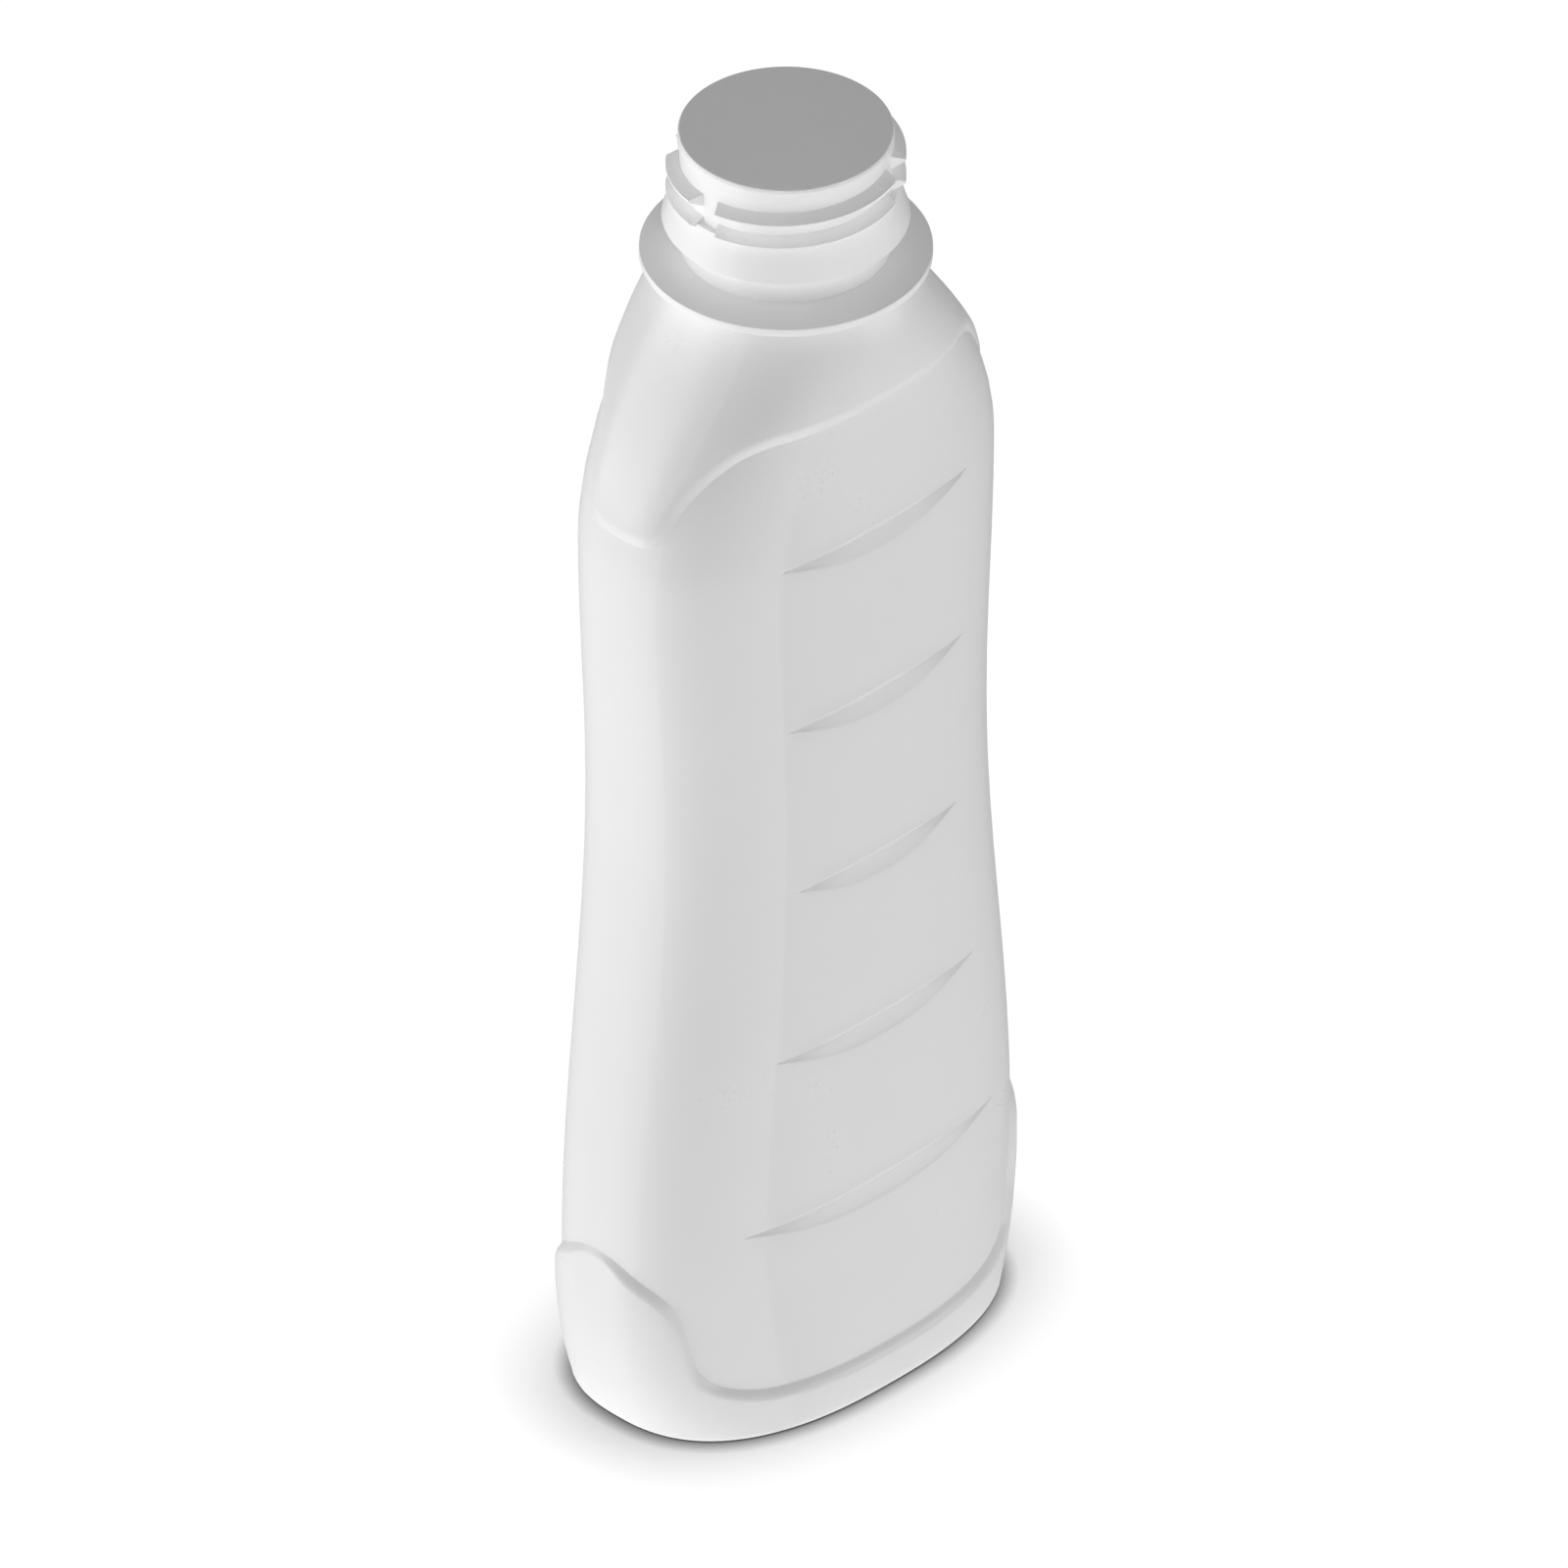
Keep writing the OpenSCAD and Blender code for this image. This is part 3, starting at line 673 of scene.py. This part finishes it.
def bonded_disc(finish):
    """Pale matt liner: fine felt-like grain and a soft pressed tone."""
    m = Shader("seal_disc")
    fibre = m.noise(scale=1500, detail=4)
    cloud = m.noise(scale=160, detail=2)
    pressed = [PRESSED_TONE * c for c in finish.seal]
    rough = finish.seal_gloss + (fibre - 0.5) * FIBRE_ROUGH
    bump = m.node("Bump", inputs={"Strength": 0.08, "Distance": 0.0001, "Height": fibre})
    return m.surface(m.node("BsdfPrincipled", inputs={
        "Base Color": m.blend(cloud, finish.seal, pressed), "Roughness": rough,
        "Normal": bump, "IOR": 1.45}))


def floor_finish(finish):
    """Pale floor: white to the camera but for the contact shadow, bright from below."""
    m = Shader("floor")
    near, wide = (m.node("AmbientOcclusion", {"samples": 16},
                         {"Color": WHITE, "Distance": distance}, output="AO")
                  for distance in SHADOW_REACHES)
    shown = m.node("Emission", inputs={
        "Color": WHITE, "Strength": near * wide ** WIDE_SHADOW * FLOOR_WHITE})
    bounce = m.node("LightPath", output="Is Diffuse Ray")
    glow = m.node("Emission", inputs={"Color": WHITE, "Strength": bounce * finish.floor_light})
    diffuse = m.node("BsdfDiffuse", inputs={"Color": rgba(finish.floor)})
    lit = m.node("AddShader", inputs={0: diffuse, 1: glow})
    seen = m.node("LightPath", output="Is Camera Ray")
    return m.surface(m.node("MixShader", inputs={0: seen, 1: lit, 2: shown}))


def finished(piece, material, node):
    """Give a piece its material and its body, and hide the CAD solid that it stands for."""
    piece.data.materials.append(material)
    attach(piece, "root")
    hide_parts(node)


class BOTTLE_OT_body(bpy.types.Operator):
    """Build the blown body with its base band, grip flutes and shoulder skirt"""
    bl_idname = "bottle.body"
    bl_label = "Body"

    def execute(self, context):
        scene = context.scene
        body = sizes(scene.bottle_body)
        surface = BodySurface(body, sizes(scene.bottle_relief))
        skin = closed_rings(surface.rows(), body["push_up"], surface.top)
        piece = new_piece("bottle_body", *skin)
        finished(piece, moulded_plastic(scene.bottle_finish), "bottle")
        return {"FINISHED"}


class BOTTLE_OT_neck(bpy.types.Operator):
    """Build the neck finish: carrying ring, tamper collar, lip and interrupted thread"""
    bl_idname = "bottle.neck"
    bl_label = "Neck"
    SHARP = 28  # degrees over which an edge stays sharp

    def execute(self, context):
        scene = context.scene
        surface = NeckSurface(sizes(scene.bottle_body), sizes(scene.bottle_neck))
        skin = closed_rings(surface.rows(), surface.low, surface.lip_top)
        material = bpy.data.materials["bottle_plastic"]
        for name, shape in (("neck_finish", skin), ("neck_thread", surface.thread())):
            piece = new_piece(name, *shape, sharp=self.SHARP)
            finished(piece, material, "bottle")
        return {"FINISHED"}


class BOTTLE_OT_mouth_seal(bpy.types.Operator):
    """Build the thin disc bonded over the mouth"""
    bl_idname = "bottle.mouth_seal"
    bl_label = "Mouth seal"

    def execute(self, context):
        scene = context.scene
        neck = sizes(scene.bottle_neck)
        surface = NeckSurface(sizes(scene.bottle_body), neck)
        low, high = surface.lip_top, surface.lip_top + neck["seal_t"]
        piece = new_piece("mouth_disc", *closed_rings(surface.seal_rows(), low, high))
        finished(piece, bonded_disc(scene.bottle_finish), "mouth_seal")
        return {"FINISHED"}


def direction(azimuth, elevation):
    """Unit vector towards a camera or lamp; azimuth 0 is in front of the broad face."""
    a, e = math.radians(azimuth), math.radians(elevation)
    return Vector((math.sin(a) * math.cos(e), -math.cos(a) * math.cos(e), math.sin(e)))


def look_along(back, at, distance):
    """Matrix of a camera or lamp that looks at a point from the direction back."""
    right = Vector((0, 0, 1)).cross(back).normalized()
    up = back.cross(right)
    turned = Matrix((right, up, back)).transposed().to_4x4()
    return Matrix.Translation(Vector(at) + back * distance) @ turned


def lamp(name, azimuth, elevation, distance, size, power, at=LAMP_AIM):
    """A soft rectangular lamp aimed at a point of the bottle."""
    data = bpy.data.lights.new(name, "AREA")
    data.shape = "RECTANGLE"
    data.size, data.size_y = size
    data.energy = power
    made = bpy.data.objects.new(name, data)
    made.matrix_world = look_along(direction(azimuth, elevation), at, distance)
    bpy.context.scene.collection.objects.link(made)
    return made


class BOTTLE_OT_stage(bpy.types.Operator):
    """Set up the floor, the soft lamps, the room light and the camera"""
    bl_idname = "bottle.stage"
    bl_label = "Stage"

    def execute(self, context):
        scene = context.scene
        finish = scene.bottle_finish
        self.floor(scene, finish)
        self.lamps(finish)
        self.room(scene, finish)
        self.camera(scene)
        scene.view_settings.view_transform = "Standard"
        return {"FINISHED"}

    @staticmethod
    def floor(scene, finish):
        """One wide level square under the bottle."""
        corners = [(x * FLOOR_HALF, y * FLOOR_HALF, 0)
                   for x, y in ((-1, -1), (1, -1), (1, 1), (-1, 1))]
        mesh = bpy.data.meshes.new("floor")
        mesh.from_pydata(corners, [], [(0, 1, 2, 3)])
        floor = bpy.data.objects.new("floor", mesh)
        scene.collection.objects.link(floor)
        mesh.materials.append(floor_finish(finish))

    @staticmethod
    def lamps(finish):
        """Three wide soft lamps around the bottle, and a narrow one on its neck."""
        lamp("left_lamp", azimuth=-130, elevation=13, distance=0.8, size=(0.56, 0.5),
             power=finish.left_light)
        lamp("right_lamp", azimuth=38, elevation=12, distance=0.8, size=(0.36, 0.36),
             power=finish.right_light)
        lamp("front_lamp", azimuth=-12, elevation=12, distance=0.8, size=(0.6, 0.6),
             power=finish.front_light)
        neck = lamp("neck_lamp", azimuth=-35, elevation=28, distance=0.5, size=(0.06, 0.06),
                    power=finish.neck_light, at=NECK_LAMP_AIM)
        neck.data.spread = math.radians(9)
        neck.visible_glossy = False

    @staticmethod
    def room(scene, finish):
        """Even light around, and plain white where the camera sees past the floor."""
        world = bpy.data.worlds.new("room")
        scene.world = world
        m = Shader("room", world)
        seen = m.node("LightPath", output="Is Camera Ray")
        strength = seen + (1 - seen) * finish.room_light
        glow = m.node("Background", inputs={"Color": WHITE, "Strength": strength})
        m.surface(glow, "OutputWorld")

    @staticmethod
    def camera(scene):
        """Parallel view from the left front corner, looking down, at the photo's scale."""
        pixel = 1 / PIXELS_PER_MM / 1000  # metres
        data = bpy.data.cameras.new("camera")
        data.type = "ORTHO"
        data.ortho_scale = PHOTO_PIXELS * pixel
        made = bpy.data.objects.new("camera", data)
        back = direction(CAMERA_AZIMUTH, CAMERA_ELEVATION)
        right, up, _ = look_along(back, (0, 0, 0), 0).to_3x3().col
        middle = PHOTO_PIXELS / 2
        aim = (right * (middle - AXIS_PIXEL) + up * (BASE_PIXEL - middle)) * pixel
        made.matrix_world = look_along(back, aim, CAMERA_DISTANCE)
        scene.collection.objects.link(made)
        scene.camera = made


class BOTTLE_PT_panel(bpy.types.Panel):
    """Sizes, finishes and build buttons"""
    bl_idname = "BOTTLE_PT_panel"
    bl_label = "Bottle"
    bl_space_type = "VIEW_3D"
    bl_region_type = "UI"
    bl_category = "Bottle"

    def draw(self, context):
        layout = self.layout
        for name in GROUPS:
            group = getattr(context.scene, name)
            box = layout.box()
            for key in group.__annotations__:
                box.prop(group, key)
        for operator in OPERATORS:
            layout.operator(operator.bl_idname)


GROUPS = {"bottle_body": BottleBody, "bottle_relief": BottleRelief,
          "bottle_neck": BottleNeck, "bottle_finish": BottleFinish}
OPERATORS = (BOTTLE_OT_body, BOTTLE_OT_neck, BOTTLE_OT_mouth_seal, BOTTLE_OT_stage)
CLASSES = (*GROUPS.values(), *OPERATORS, BOTTLE_PT_panel)


def register():
    for cls in CLASSES:
        bpy.utils.register_class(cls)
    for name, cls in GROUPS.items():
        setattr(bpy.types.Scene, name, PointerProperty(type=cls))


def unregister():
    for name in GROUPS:
        delattr(bpy.types.Scene, name)
    for cls in reversed(CLASSES):
        bpy.utils.unregister_class(cls)


def main():
    """Register the classes, then build every piece and the stage."""
    register()
    bpy.ops.bottle.body()
    bpy.ops.bottle.neck()
    bpy.ops.bottle.mouth_seal()
    bpy.ops.bottle.stage()


if __name__ == "__main__":
    main()
